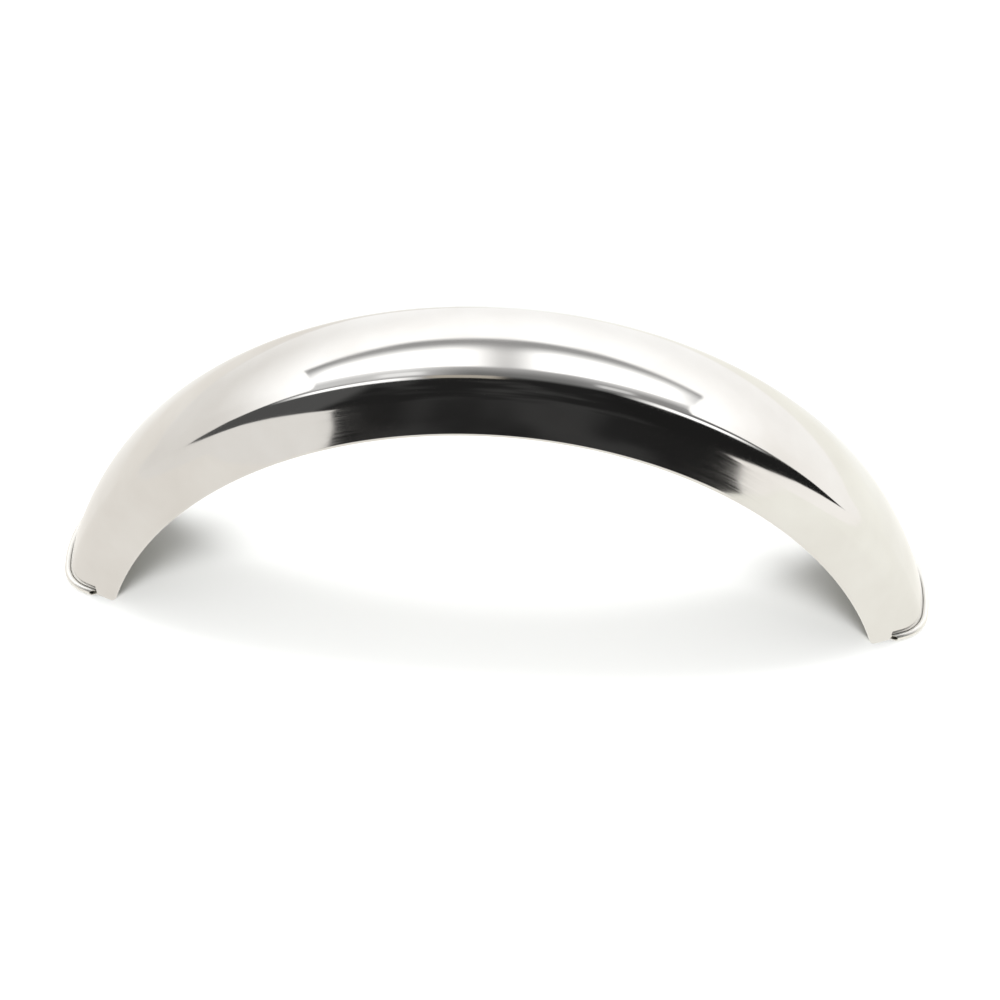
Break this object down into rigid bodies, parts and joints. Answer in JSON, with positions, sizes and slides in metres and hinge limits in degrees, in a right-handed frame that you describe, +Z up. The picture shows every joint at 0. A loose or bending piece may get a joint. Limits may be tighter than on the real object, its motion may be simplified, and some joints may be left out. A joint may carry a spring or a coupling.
{
  "type": "moped mudguard",
  "caption": "Arched wheel mudguard of polished sheet steel: channel section with flared skirts, turned-in side edges and curled ends, shielding a moped wheel from spray.",
  "frame": {"origin": "on the ground under the middle of the arch, where the mudguard stands on its two ends, which are cut level", "axes": "+X along the wheel's travel, +Y along the axle line away from the picture's camera, +Z up through the crown"},
  "size_m": [0.5438, 0.09, 0.1906],
  "materials": {
    "polished_steel": "mirror polished stainless steel, fine polishing lines along the arch"
  },
  "bodies": {
    "root": {"mudguard": "polished_steel"}
  },
  "joints": []
}
